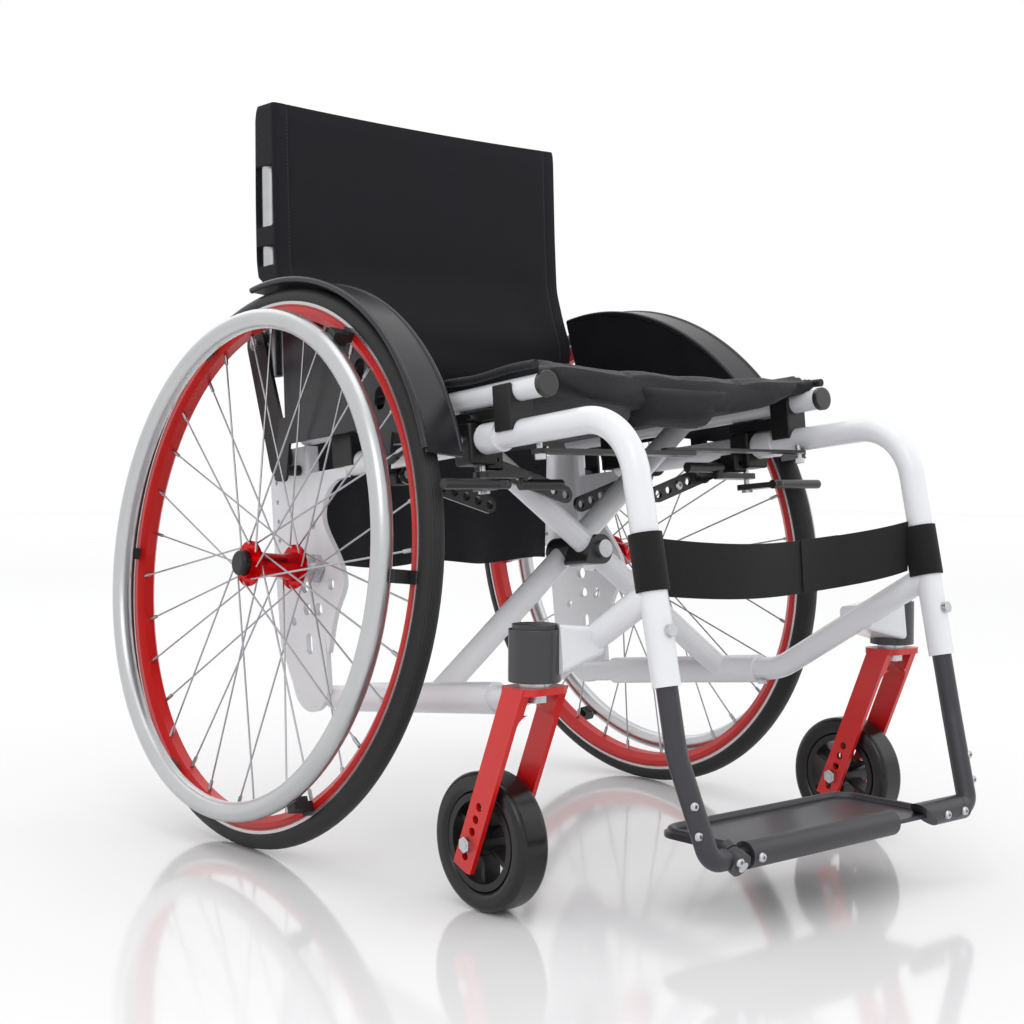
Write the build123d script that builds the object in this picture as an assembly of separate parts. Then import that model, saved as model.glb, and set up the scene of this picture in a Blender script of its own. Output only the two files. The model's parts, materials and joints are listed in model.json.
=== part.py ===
"""Folding manual wheelchair, cross-brace type, built as separate pieces.

Millimetres. +Z up, the chair faces -Y, +X is the occupant's left.
While modelling, the main wheels' centres are at Y = 0; MID_Y then moves every
piece so that the origin is the centre of the footprint, on the floor.
The folding frame slopes down to the rear by SLOPE: its pieces are drawn in
"frame coordinates" (x, s, h), where s runs along the slope and h stands on it,
and on_slope() turns them into place.
"""
import os
from math import cos, hypot, radians, sin

from build123d import *

# ---- driving dimensions ----------------------------------------------------
SLOPE = 6.0                  # the seat frame's fall to the rear, degrees
MID_Y = 137.9                # puts the origin at the middle of the footprint
FIT = 0.06                   # radial clearance of everything that turns
GAP = 0.4                    # air between pieces that pass each other

WHEEL_R, TYRE_R = 295.0, 12.5
CAMBER, TRACK = 5.6, 540.0   # wheel tilt and spacing of the wheel centres
RIM_OUT, RIM_IN, RIM_HALF = 279.0, 261.0, 11.0
HANDRIM_R, HANDRIM_TUBE, HANDRIM_OUT = 256.0, 10.5, 37.0
HUB_IN, HUB_OUT = -37.0, 29.0            # hub ends, from the wheel plane
FLANGES = (-33.0, 22.0)
FLANGE_R, WAIST_R, HUB_END_R = 24.0, 12.5, 16.0
AXLE_R = 6.35
SPOKES, SPOKE_R = 32, 1.0

SIDE_X, LOWER_X, RAIL_X = 197.0, 190.0, 197.0
UPPER_H, LOWER_H, RAIL_H = 393.0, 146.0, 433.0
TUBE, WALL = 25.0, 2.0
RAIL_TUBE = 22.0
RAIL_FRONT, RAIL_REAR = -405.0, -8.0
CORNER_S, CORNER_R = -510.5, 60.0
LEG_END_S, LEG_END_H = -535.3, 156.9
SPLIT_S, TUBE_REAR_S = -335.0, -95.0     # front tube joint, rear end of the tube

SLEEVE, SLEEVE_FRONT, SLEEVE_REAR = 31.0, -301.0, -70.0
ARM_S = {"a": -204.0, "b": -244.0}       # the two braces pass each other at the pivot
COLLAR = {"a": (-223.9, -188.0), "b": (-259.5, -224.3)}
COLLAR_R, PIVOT_BOLT_R = 16.0, 5.0
PIVOT_H = LOWER_H + (RAIL_H - LOWER_H) * LOWER_X / (LOWER_X + RAIL_X)
LOWER_ARM = hypot(LOWER_X, PIVOT_H - LOWER_H)
UPPER_ARM = hypot(RAIL_X, RAIL_H - PIVOT_H)

CASTER_X, CASTER_Y, TRAIL = 255.0, -413.0, 58.0
CASTER_R, CASTER_WIDTH = 62.5, 34.0
FORK_GAP, FORK_PLATE, FORK_WIDTH = 42.0, 5.0, 25.0
HOUSING_R, HOUSING_LOW, HOUSING_HIGH = 23.0, 211.0, 257.0
STEM_R, CASTER_BOLT_R = 6.0, 4.0

LINK_X, LINK_H, LINK_ANGLE = 176.0, 375.0, -16.6
LINK_S = (-283.0, -160.0)
LINK_LENGTH, LINK_WIDTH, LINK_THICK = 113.2, 18.0, 4.0
LINK_HOLES, LINK_PITCH, LINK_HOLE_R = 5, 16.3, 4.6
BAR_X, BAR_S, BAR_H, BAR_T = 186.0, -381.0, 372.0, 4.5
BRAKE_X, BRAKE_S = 190.0, -301.0
BRAKE_LEVER_H, BRAKE_ARM_H = 360.0, 348.0
GRIP_CRANK = 9.5             # one grip above its plate, one below: they pass when folded
PAD_S, PAD_END = -338.0, 268.0

FOOT_Y, FOOT_Z, FOOT_BAR = -556.0, 69.0, 24.0
FOOT_PIVOT_X, FOOT_LEAN = 158.0, 25.0
TRAY_REAR = -442.0
CANE, CANE_TOP, CANE_LEAN = 22.0, 804.0, 0.03
CANE_BOLT = (116.0, 536.0)   # (y, z) of the back bracket's upper bolt
PIN_R = 3.0

AXLE_Z = (WHEEL_R - TYRE_R) * cos(radians(CAMBER)) + TYRE_R


# ---- helpers -----------------------------------------------------------------
def on_slope(shape):
    """Turn a piece drawn in frame coordinates (x, s, h) into place."""
    return Rot(-SLOPE, 0, 0) * shape


def round_bar(path, diameter):
    """A round bar of one diameter along a path."""
    start = Plane(origin=path @ 0, z_dir=path % 0)
    return sweep(start * Circle(diameter / 2), path=path)


def round_tube(path, diameter, wall=WALL):
    """A round tube along a path."""
    start = Plane(origin=path @ 0, z_dir=path % 0)
    return sweep(start * (Circle(diameter / 2) - Circle(diameter / 2 - wall)), path=path)


def rod(start, end, radius):
    """A straight round bar between two points."""
    return round_bar(Line(start, end), 2 * radius)


def block(low, high, rounding=0.0):
    """A box between two corners, with its edges rounded."""
    size = [b - a for a, b in zip(low, high)]
    middle = [(a + b) / 2 for a, b in zip(low, high)]
    box = Pos(*middle) * Box(*size)
    return fillet(box.edges(), rounding) if rounding else box


def turned(profile):
    """Turn a closed (radius, height) outline about Z."""
    return revolve(Plane.XZ * profile, Axis.Z)


def hex_prism(at, axis, across_flats, thickness):
    """A hexagon bolt head or nut standing on a point, along an axis."""
    plane = Plane(origin=at, z_dir=axis)
    return extrude(plane * RegularPolygon(across_flats / 2, 6, major_radius=False), thickness)


def mirrored(shape):
    return mirror(shape, about=Plane.YZ)


def wheel_place():
    """The left wheel's place: Z outboard along its axle, X to the rear, Y up."""
    tilt = radians(CAMBER)
    return Plane(origin=(TRACK / 2, 0, AXLE_Z), x_dir=(0, 1, 0), z_dir=(cos(tilt), 0, sin(tilt)))


WHEEL = wheel_place()
CASTER = Plane(origin=(CASTER_X, CASTER_Y + TRAIL, CASTER_R), x_dir=(0, 1, 0), z_dir=(1, 0, 0))


# ---- main wheel (left; Z is the axle, pointing outboard) --------------------------
def tyre():
    bead, rim_edge = RIM_OUT - 7.0, RIM_OUT + 0.2
    core = Pos(WHEEL_R - TYRE_R, 0) * Circle(TYRE_R)
    outside = core - Pos(rim_edge - 15, 0) * Rectangle(30, 40)
    foot = Pos((bead + rim_edge + 1) / 2, 0) * Rectangle(rim_edge + 1 - bead, 14)
    return WHEEL * turned(outside + foot)


def rim():
    lip, well, shoulder = RIM_OUT, RIM_OUT - 8.0, RIM_IN + 7.0
    half = [(lip, RIM_HALF - 2), (lip, RIM_HALF), (shoulder, RIM_HALF), (RIM_IN, RIM_HALF - 5)]
    outline = [(well, 7.5)] + half
    outline += [(r, -w) for r, w in reversed(outline)]
    return WHEEL * turned(make_face(Polyline(*outline, close=True)))


def spokes():
    """Crossed spokes: pairs lie on either face of each flange, so they pass clear."""
    lift, sweep_angle = 3.4, 58.0
    hole_r, rim_r, nipple = FLANGE_R - 4.0, RIM_IN - 0.6, 12.0
    out = []
    for i in range(SPOKES):
        outer = i % 2
        forward = 1 if (i // 2) % 2 else -1
        at_rim = radians(360 / SPOKES * (i + 0.5))
        at_hub = at_rim + forward * radians(sweep_angle)
        w_hub = FLANGES[outer] + forward * lift
        w_rim = (3.2 if outer else -3.2) + forward * lift / 2
        hub_end = Vector(hole_r * cos(at_hub), hole_r * sin(at_hub), w_hub)
        rim_end = Vector(rim_r * cos(at_rim), rim_r * sin(at_rim), w_rim)
        along = (hub_end - rim_end).normalized()
        spoke = rod(rim_end, hub_end, SPOKE_R) + rod(rim_end, rim_end + along * nipple, 2.0)
        out.append(WHEEL * spoke)
    return out


def hub():
    """Flanged, waisted hub on the axle's clearance, with a seat for the release button."""
    inner, outer = FLANGES
    half, neck = 1.2, 5.0
    profile = [(AXLE_R + FIT, HUB_IN), (HUB_END_R - 2, HUB_IN)]
    for flange, side in ((inner, -1), (outer, 1)):
        rise = [(HUB_END_R, flange + side * neck * 0.6), (HUB_END_R, flange + side * half),
                (FLANGE_R, flange + side * half)]
        fall = [(FLANGE_R, flange - side * half), (HUB_END_R, flange - side * half),
                (WAIST_R, flange - side * neck * 3)]
        profile += rise + fall if side < 0 else fall[::-1] + rise[::-1]
    seat_r, seat_depth = 13.8, 9.0
    profile += [(HUB_END_R, HUB_OUT), (seat_r, HUB_OUT), (seat_r, HUB_OUT - seat_depth),
                (AXLE_R + FIT, HUB_OUT - seat_depth)]
    return WHEEL * turned(make_face(Polyline(*profile, close=True)))


def handrim():
    """The push ring, with the six spacer tabs that are welded to it."""
    ring = Pos(0, 0, HANDRIM_OUT) * Torus(HANDRIM_R, HANDRIM_TUBE)
    tab_low, tab_high, tab_wide = RIM_HALF + 0.05, HANDRIM_OUT - 4, 13.0
    tab = block((RIM_OUT - 14, -tab_wide / 2, tab_low), (RIM_OUT - 3, tab_wide / 2, tab_low + 6))
    tab += block((RIM_OUT - 19, -tab_wide / 2, tab_low + 5), (RIM_OUT - 6, tab_wide / 2, tab_high))
    for i in range(6):
        ring += Rot(0, 0, 60 * i) * tab
    return WHEEL * ring


def release_button():
    """Domed cap on the axle's end that is pushed in to free the wheel."""
    radius, skirt, dome = 13.4, HUB_OUT + 0.5, HUB_OUT + 8.0
    cap = Pos(0, 0, (skirt + dome) / 2) * Cylinder(radius, dome - skirt)
    cap = fillet(cap.edges().sort_by(Axis.Z)[-1], 4.0)
    return WHEEL * cap


def axle():
    """Quick-release pin, the steel sleeve that holds it, and the sleeve's two nuts."""
    pin = rod((0, 0, -74), (0, 0, HUB_OUT - 9.5), AXLE_R - 0.01)
    sleeve_r, sleeve_in, sleeve_out = 10.5, -77.0, HUB_IN - 1.0
    sleeve = rod((0, 0, sleeve_in), (0, 0, sleeve_out), sleeve_r)
    sleeve -= rod((0, 0, sleeve_in - 1), (0, 0, sleeve_out + 1), AXLE_R + 0.02)
    out = [WHEEL * pin, WHEEL * sleeve]
    for at, thickness in ((-60.5, 9.0), (-76.5, 7.0)):
        nut = hex_prism((0, 0, at), (0, 0, 1), 30, thickness)
        nut -= rod((0, 0, at - 1), (0, 0, at + thickness + 1), sleeve_r + 0.02)
        out.append(WHEEL * nut)
    return out


# ---- caster (left) --------------------------------------------------------------
def caster_tyre():
    inner = 44.0
    band = Rectangle(CASTER_R - inner, CASTER_WIDTH)
    band = fillet(band.vertices(), 7.0)
    return CASTER * turned(Pos((CASTER_R + inner) / 2, 0) * band)


def caster_wheel():
    """Moulded wheel: outer band, six blades, hub with a running bore."""
    band_out, band_in, hub_r = 43.9, 37.5, 13.0
    band = Cylinder(band_out, 28) - Cylinder(band_in, 29)
    wheel = band + Cylinder(hub_r, FORK_GAP - 4)
    for i in range(6):
        blade = block((hub_r - 2, -2.5, -9), (band_in + 1, 2.5, 9))
        wheel += Rot(0, 0, 60 * i + 30) * blade
    return CASTER * (wheel - Cylinder(CASTER_BOLT_R + FIT, FORK_GAP))


def fork_frame():
    """Across the fork: X is the lean of the legs seen from the side, origin at the axle."""
    stem_top = Vector(0, CASTER_Y, HOUSING_LOW - 9)
    wheel_at = Vector(0, CASTER_Y + TRAIL, CASTER_R)
    return (stem_top - wheel_at).normalized(), (stem_top - wheel_at).length


def caster_fork():
    """Flat-plate fork: two leaning legs with five axle holes each, and a level top."""
    up, reach = fork_frame()
    half_out = FORK_GAP / 2 + FORK_PLATE
    top_z, foot = HOUSING_LOW - 4.0, 27.0
    wheel_at = Vector(CASTER_X, CASTER_Y + TRAIL, CASTER_R)
    lean = Plane(origin=wheel_at, x_dir=(1, 0, 0), z_dir=Vector(1, 0, 0).cross(up))
    outer = Pos(0, (reach + 30 - foot) / 2) * RectangleRounded(2 * half_out, reach + 30 + foot, 2)
    inner = Pos(0, (reach - foot) / 2 - 10) * RectangleRounded(FORK_GAP, reach + foot - 10, 12)
    legs = extrude(lean * (outer - inner), FORK_WIDTH / 2, both=True)
    legs &= block((CASTER_X - 40, CASTER_Y - 80, 0), (CASTER_X + 40, CASTER_Y + 140, top_z))
    keep = rod(wheel_at - Vector(30, 0, 0), wheel_at + Vector(30, 0, 0), foot)
    low_cut = block((CASTER_X - 40, CASTER_Y + TRAIL - 60, CASTER_R - 90),
                    (CASTER_X + 40, CASTER_Y + TRAIL + 90, CASTER_R - 22))
    legs -= low_cut - keep
    top = Pos(CASTER_X, CASTER_Y, top_z - 3) * extrude(RectangleRounded(2 * half_out, 42, 12), 3, both=True)
    slot = block((CASTER_X - FORK_GAP / 2 + 4, CASTER_Y - 40, top_z - 24),
                 (CASTER_X + FORK_GAP / 2 - 4, CASTER_Y + 40, top_z - 6))
    fork = legs + top - slot
    for i in range(-1, 4):
        at = wheel_at + up * (12.6 * i)
        bore = CASTER_BOLT_R + (0.02 if i == 0 else 0.0)
        fork -= rod(at - Vector(40, 0, 0), at + Vector(40, 0, 0), bore)
    fork -= rod((CASTER_X, CASTER_Y, top_z - 10), (CASTER_X, CASTER_Y, top_z + 5), STEM_R + 0.02)
    return fork.solids().sort_by(SortBy.VOLUME)[-1]


def caster_hardware():
    """Stem bolt with its nut and washer, and the wheel bolt with its nut and spacers."""
    x, y, z = CASTER_X, CASTER_Y + TRAIL, CASTER_R
    half_out = FORK_GAP / 2 + FORK_PLATE
    top_z = HOUSING_LOW - 4.0
    stem = rod((x, CASTER_Y, top_z - 14), (x, CASTER_Y, HOUSING_HIGH - 7), STEM_R)
    nut = hex_prism((x, CASTER_Y, top_z - 14), (0, 0, 1), 19, 7.9)
    nut -= rod((x, CASTER_Y, top_z - 20), (x, CASTER_Y, top_z), STEM_R + 0.02)
    washer = rod((x, CASTER_Y, top_z + 0.05), (x, CASTER_Y, HOUSING_LOW - 0.3), 15)
    washer -= rod((x, CASTER_Y, top_z - 1), (x, CASTER_Y, HOUSING_LOW + 1), STEM_R + 0.02)
    bolt = rod((x - half_out - 6, y, z), (x + half_out + 6, y, z), CASTER_BOLT_R)
    out = [stem, nut, washer, bolt]
    for side in (-1, 1):
        head = hex_prism((x + side * (half_out + 0.05), y, z), (side, 0, 0), 13, 5.5)
        head -= rod((x - 50, y, z), (x + 50, y, z), CASTER_BOLT_R + 0.02)
        spacer = rod((x + side * (FORK_GAP / 2 - 0.05), y, z), (x + side * (FORK_GAP / 2 - 1.7), y, z), 7)
        spacer -= rod((x - 50, y, z), (x + 50, y, z), CASTER_BOLT_R + 0.02)
        out += [head, spacer]
    return out


def caster_housing():
    """Bearing housing with its end cap; the stem turns in a blind bore."""
    body = rod((CASTER_X, CASTER_Y, HOUSING_LOW), (CASTER_X, CASTER_Y, HOUSING_HIGH), HOUSING_R)
    body = fillet(body.edges().filter_by(GeomType.CIRCLE), 1.0)
    cap = rod((CASTER_X, CASTER_Y, HOUSING_HIGH - 1), (CASTER_X, CASTER_Y, HOUSING_HIGH + 4), HOUSING_R - 3)
    bore = rod((CASTER_X, CASTER_Y, HOUSING_LOW - 1), (CASTER_X, CASTER_Y, HOUSING_HIGH - 5), STEM_R + FIT)
    return body + cap - bore


# ---- side frame (left) -----------------------------------------------------------
def upper_path():
    corner = (SIDE_X, CORNER_S, UPPER_H)
    foot = (SIDE_X, LEG_END_S, LEG_END_H)
    return FilletPolyline((SIDE_X, SPLIT_S, UPPER_H), corner, foot, radius=CORNER_R)


def lower_path():
    leg = (SIDE_X, -524.0, 236.0)
    bend = (LOWER_X, -330.0, LOWER_H)
    return FilletPolyline(leg, bend, (LOWER_X, -22.0, LOWER_H), radius=70)


def upper_rail():
    """Rear half of the top tube; its front end plugs into the front tube's sleeve."""
    ends = Line((SIDE_X, TUBE_REAR_S, UPPER_H), (SIDE_X, SPLIT_S + 0.2, UPPER_H))
    return on_slope(round_tube(ends, TUBE))


def front_tube():
    """Top tube, bend and leg in one, with the wider sleeve at its rear end."""
    body = round_tube(upper_path(), TUBE)
    sleeve = rod((SIDE_X, SPLIT_S - 8, UPPER_H), (SIDE_X, SPLIT_S + 17, UPPER_H), TUBE / 2 + 2.5)
    sleeve -= rod((SIDE_X, SPLIT_S - 9, UPPER_H), (SIDE_X, SPLIT_S + 18, UPPER_H), TUBE / 2 + 0.05)
    ring = rod((SIDE_X, SPLIT_S - 8, UPPER_H), (SIDE_X, SPLIT_S - 4, UPPER_H), TUBE / 2 + 2.5)
    ring -= rod((SIDE_X, SPLIT_S - 9, UPPER_H), (SIDE_X, SPLIT_S + 18, UPPER_H), TUBE / 2 - WALL)
    return on_slope(body + sleeve + ring)


def lower_tube():
    """Lower side tube with the caster arm welded to it, cut to fit the leg and the housing."""
    outer, bore = round_bar(lower_path(), TUBE), round_bar(lower_path(), TUBE - 2 * WALL)
    arm_s, arm_h, half_s, half_h = -436.0, 193.5, 24.0, 22.0
    root = Plane(origin=(LOWER_X + 2, arm_s, arm_h + 4), x_dir=(0, 1, 0), z_dir=(1, 0, 0))
    tip = Plane(origin=(CASTER_X - 10, arm_s, arm_h), x_dir=(0, 1, 0), z_dir=(1, 0, 0))
    arm = loft([root * RectangleRounded(40, 26, 6), tip * RectangleRounded(2 * half_s, 2 * half_h, 5)])
    body = on_slope(outer + arm - bore)
    body -= on_slope(round_bar(upper_path(), TUBE))
    body -= rod((CASTER_X, CASTER_Y, 100), (CASTER_X, CASTER_Y, 300), HOUSING_R + 0.02)
    return body.solids().sort_by(SortBy.VOLUME)[-1]


def axle_plate():
    """Wavy side plate with its lightening holes, and the raised post for the back bracket."""
    inner, thick = LOWER_X + TUBE / 2, 6.0
    front = Spline((-96, 379), (-62, 370), (-47, 343), (-64, 308), (-81, 268), (-56, 226), (-42, 196),
                   (-40, 160), tangents=((1, 0), (0, -1)))
    tip = ThreePointArc((-40, 160), (-8, 131), (28, 158))
    rear = Polyline((28, 158), (50, 206), (53, 300), (53, 390), (-96, 390), (-96, 379))
    face = make_face([front, tip, *rear.edges()])
    holes = ((-5, 268, 7.5), (-56, 268, 6.5), (-7, 243, 7), (-30, 242, 7), (-28, 334, 5), (20, 230, 5))
    for s, h, r in holes:
        face -= Pos(s, h) * Circle(r)
    face -= Pos(-8, 205) * SlotCenterToCenter(11, 12, rotation=90)
    for s, h in ((-2, 318), (16, 300)):
        face -= Pos(s, h) * SlotCenterToCenter(24, 5, rotation=-62)
    side = Plane(origin=(inner, 0, 0), x_dir=(0, 1, 0), z_dir=(1, 0, 0))
    plate = extrude(side * face, thick)
    post = block((SIDE_X - 7, -22, 306), (inner + thick, 52.9, 420.5))
    post = fillet(post.edges().filter_by(Axis.Z), 5.5)
    plate += post
    for i in range(5):
        plate -= rod((inner - 30, 41, 321 + 21.5 * i), (inner + 30, 41, 321 + 21.5 * i), 2.6)
    plate -= rod((SIDE_X, TUBE_REAR_S - 40, UPPER_H), (SIDE_X, TUBE_REAR_S + 0.1, UPPER_H), TUBE / 2)
    plate = on_slope(plate)
    return plate - WHEEL * rod((0, 0, -100), (0, 0, -40), 11.6)


def rail_fittings():
    """Black clamps and saddles on the top tube, each a separate solid."""
    x, slot = RAIL_X, RAIL_TUBE / 2 + 0.3
    tube = rod((SIDE_X, -520, UPPER_H), (SIDE_X, 60, UPPER_H), TUBE / 2 + 0.05)
    trough = rod((x, -500, RAIL_H), (x, 60, RAIL_H), slot)
    trough += block((x - slot, -500, RAIL_H), (x + slot, 60, RAIL_H + 40))
    front = block((x - 15, -373, UPPER_H + 2), (x + 15, -348, RAIL_H + 6), 1.5) - tube - trough
    shelf = block((x - 7, -348.05, UPPER_H + 16), (x + 7, -279, RAIL_H - 12.5), 1.5)
    tube_end = rod((SIDE_X, -520, UPPER_H), (SIDE_X, TUBE_REAR_S + 0.1, UPPER_H), TUBE / 2 + 0.05)
    rear = block((x - 15, -113, 390.2), (x + 15, -77, RAIL_H + 6), 1.5) - tube_end - trough
    clamp = block((x - 17, -314, 369), (x + 17, -288, UPPER_H + 16), 3.0)
    clamp += block((LINK_X - 9, -306, LINK_H - 10), (x - 10, LINK_S[0] - 0.7, LINK_H + 10), 2.0)
    ring_s = LINK_S[1] + LINK_THICK + 1
    ring = rod((SIDE_X, ring_s, UPPER_H), (SIDE_X, ring_s + 12, UPPER_H), TUBE / 2 + 5)
    ring += block((LINK_X - 9, ring_s, LINK_H - 10), (x - 10, ring_s + 12, LINK_H + 10), 2.0)
    pins = rod((LINK_X, -330, LINK_H), (LINK_X, -90, LINK_H), PIN_R + 0.02)
    pins += rod((BRAKE_X, BRAKE_S, 330), (BRAKE_X, BRAKE_S, UPPER_H), PIN_R + 0.02)
    out = [front, shelf - tube, rear, clamp - tube - pins, ring - tube - pins]
    low, high = Pos(66, 405) * Circle(20), Pos(*CANE_BOLT) * Circle(18)
    plane = Plane(origin=(SIDE_X + 14, 0, 0), x_dir=(0, 1, 0), z_dir=(1, 0, 0))
    bracket = extrude(plane * make_hull([*low.edges(), *high.edges()]), 4)
    return [on_slope(piece.solids().sort_by(SortBy.VOLUME)[-1]) for piece in out] + [bracket]


def back_cane():
    """Back tube, nearly upright and open at its top, with a boss for its bracket."""
    foot_y, foot_z = 105.0, 500.0
    low, high = (SIDE_X, foot_y, foot_z), (SIDE_X, foot_y + CANE_LEAN * (CANE_TOP - foot_z), CANE_TOP)
    boss = rod((SIDE_X + 10, 107, 530), (SIDE_X + 13.9, 107, 530), 9)
    return rod(low, high, CANE / 2) + boss - rod(low, high, CANE / 2 - WALL)


def side_guard():
    """Clothes guard: a panel beside the wheel and a mudguard strip over the tyre."""
    guard_in, guard_out, low_w, high_w = 300.5, 303.5, -30.0, 13.0
    wedge = make_face(Polyline((0, 0), (68, 320), (-120, 420), (-420, 420), (-420, 175), close=True))
    ring = (Circle(guard_out) - Circle(guard_in)) & wedge
    strip = Pos(0, 0, low_w) * extrude(ring, high_w - low_w)
    panel_low = make_face(Polyline((68, 128), (68, 320), (-320, 320), (-320, 133), (-255, 133),
                                   (-120, 146), close=True))
    face = Circle(guard_in + 0.5) & panel_low & wedge
    for y, z in ((-100, 206), (-141, 176)):
        face -= Pos(y, z) * SlotCenterToCenter(8, 18, rotation=90)
    for y in (-154, 33):
        face += Pos(y, 126) * RectangleRounded(24, 70, 6)
    panel = Pos(0, 0, low_w) * extrude(face, 3)
    guard = WHEEL * (strip + panel)
    for s in (-196, -8):
        standoff = rod((SIDE_X + TUBE / 2 + 0.4, s, UPPER_H + 2), (SIDE_X + 34, s, UPPER_H + 2), 6)
        guard += on_slope(standoff)
    return guard


def brake_lever(crank):
    """Hand lever under the seat: a flat plate, and a grip cranked up or down from it."""
    knee, tip, grip_r = BRAKE_X - 48, BRAKE_X - 98, 5.5
    pin, end, grip_h = (BRAKE_X, BRAKE_S), (knee, BRAKE_S - 3), BRAKE_LEVER_H + crank
    shape = make_hull([*(Pos(*pin) * Circle(10)).edges(), *(Pos(*end) * Circle(6)).edges()])
    lever = extrude(Plane.XY.offset(BRAKE_LEVER_H - 3) * shape, 6)
    lever += rod((*end, BRAKE_LEVER_H), (*end, grip_h), 4.5)
    lever += rod((knee + 4, end[1], grip_h), (tip, end[1], grip_h), grip_r)
    return on_slope(lever - brake_bore())


def brake_arm():
    """Arm on the lever's pin, with the bar that presses the tyre."""
    pin, bend = (BRAKE_X, BRAKE_S), (BRAKE_X + 8, PAD_S)
    shape = make_hull([*(Pos(*pin) * Circle(11)).edges(), *(Pos(*bend) * Circle(7)).edges()])
    arm = extrude(Plane.XY.offset(BRAKE_ARM_H - 3) * shape, 6)
    arm += rod((BRAKE_X, PAD_S, BRAKE_ARM_H), (PAD_END, PAD_S, BRAKE_ARM_H), 5)
    return on_slope(arm - brake_bore())


def brake_bore():
    return rod((BRAKE_X, BRAKE_S, 300), (BRAKE_X, BRAKE_S, 400), PIN_R + FIT)


def link():
    """Five-hole side links, front and rear, turning on pins beside the top tube."""
    along = Vector(-cos(radians(LINK_ANGLE)), 0, sin(radians(LINK_ANGLE)))
    out = []
    for s in LINK_S:
        plane = Plane(origin=(LINK_X, s, LINK_H), x_dir=along, z_dir=(0, 1, 0))
        shape = Pos(LINK_LENGTH / 2, 0) * SlotCenterToCenter(LINK_LENGTH, LINK_WIDTH)
        shape -= Circle(PIN_R + FIT)
        for i in range(LINK_HOLES):
            shape -= Pos(LINK_LENGTH - LINK_PITCH * i, 0) * Circle(LINK_HOLE_R)
        out.append(on_slope(extrude(plane * shape, LINK_THICK)))
    return out


def bar_half(side):
    """Half of the flat cross bar; the left half lies over the right one at the middle."""
    level = BAR_H if side < 0 else BAR_H + BAR_T + GAP
    lap = 14.0
    shape = Pos(side * (BAR_X - lap) / 2, BAR_S) * SlotCenterToCenter(BAR_X + lap, 16)
    shape -= Pos(side * BAR_X, BAR_S) * Circle(PIN_R + FIT)
    shape -= Pos(side * lap / 2, BAR_S) * Circle(3.2)
    return on_slope(extrude(Plane.XY.offset(level) * shape, BAR_T if side < 0 else BAR_T - GAP - 1.2))


def frame_screws():
    """Bright screws, pins and nuts of one side frame."""
    out = []
    for s in (LINK_S[0], LINK_S[1]):
        pin = rod((LINK_X, s - 1.5, LINK_H), (LINK_X, s + 15, LINK_H), PIN_R)
        if s == LINK_S[0]:
            pin = rod((LINK_X, s - 14, LINK_H), (LINK_X, s + 5.5, LINK_H), PIN_R)
            pin += rod((LINK_X, s + 4.4, LINK_H), (LINK_X, s + 6.5, LINK_H), 5)
        else:
            pin += rod((LINK_X, s - 2.5, LINK_H), (LINK_X, s - 0.4, LINK_H), 5)
        out.append(on_slope(pin))
    pivot = rod((BRAKE_X, BRAKE_S, BRAKE_ARM_H - 5), (BRAKE_X, BRAKE_S, 376), PIN_R)
    pivot += rod((BRAKE_X, BRAKE_S, BRAKE_ARM_H - 6), (BRAKE_X, BRAKE_S, BRAKE_ARM_H - 3.4), 6)
    out.append(on_slope(pivot))
    stud = rod((BAR_X, BAR_S, BAR_H - 3), (BAR_X, BAR_S, UPPER_H - 7), PIN_R)
    stud += hex_prism((BAR_X, BAR_S, BAR_H - 5.5), (0, 0, 1), 10, 5.1)
    out.append(on_slope(stud - rod((SIDE_X, -520, UPPER_H), (SIDE_X, 60, UPPER_H), TUBE / 2 + 0.02)))
    out.append(on_slope(rod((SIDE_X + 17.05, -301, UPPER_H), (SIDE_X + 19.5, -301, UPPER_H), 5)))
    out.append(on_slope(rod((SIDE_X + 7.1, -305, 414.3), (SIDE_X + 9.5, -305, 414.3), 3.2)))
    leg_bolt = leg_axis(202.7)
    forward = (leg_axis(0) - leg_axis(1)).cross(Vector(1, 0, 0)).normalized()
    head, tip = leg_bolt + forward * (TUBE / 2 + 4.5), leg_bolt + forward * (TUBE / 2 + 0.1)
    out.append(on_slope(rod(tip, head, 5.5)))
    out.append(on_slope(hex_prism((LOWER_X - 7, SLEEVE_FRONT - 8, LOWER_H - 16.5), (0, 0, 1), 9, 4)))
    bolt = Vector(SIDE_X + 18.05, *CANE_BOLT)
    out.append(rod(bolt, bolt + Vector(3, 0, 0), 7))
    return out


def leg_axis(h):
    """The point of the leg's centre line at a height, in frame coordinates."""
    share = (UPPER_H - h) / (UPPER_H - LEG_END_H)
    return Vector(SIDE_X, CORNER_S + (LEG_END_S - CORNER_S) * share, h)


def leg_extension():
    """Black telescoping leg: tube, elbow, and the knuckle at the foot bar."""
    leg, knee = leg_axis(195).rotate(Axis.X, -SLOPE), leg_axis(100).rotate(Axis.X, -SLOPE)
    elbow, end = Vector(185, FOOT_Y, FOOT_Z), Vector(FOOT_PIVOT_X + 9, FOOT_Y, FOOT_Z)
    path = FilletPolyline(leg, knee, elbow, end, radius=[90, 13])
    return round_bar(path, 19)


def foot_axis():
    lean = radians(FOOT_LEAN)
    return Vector(0, cos(lean), sin(lean))


def leg_extension_right():
    """Right leg end: two cheeks that carry the foot bar's hinge pin."""
    pivot, along = Vector(-FOOT_PIVOT_X, FOOT_Y, FOOT_Z), foot_axis()
    cheeks = rod(pivot - along * 11, pivot + along * 11, 11)
    slot = rod(pivot - along * 3.3, pivot + along * 3.3, 13.5)
    pin_hole = rod(pivot - along * 12, pivot + along * 12, PIN_R + 0.02)
    return mirrored(leg_extension()) + cheeks - slot - pin_hole


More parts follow.
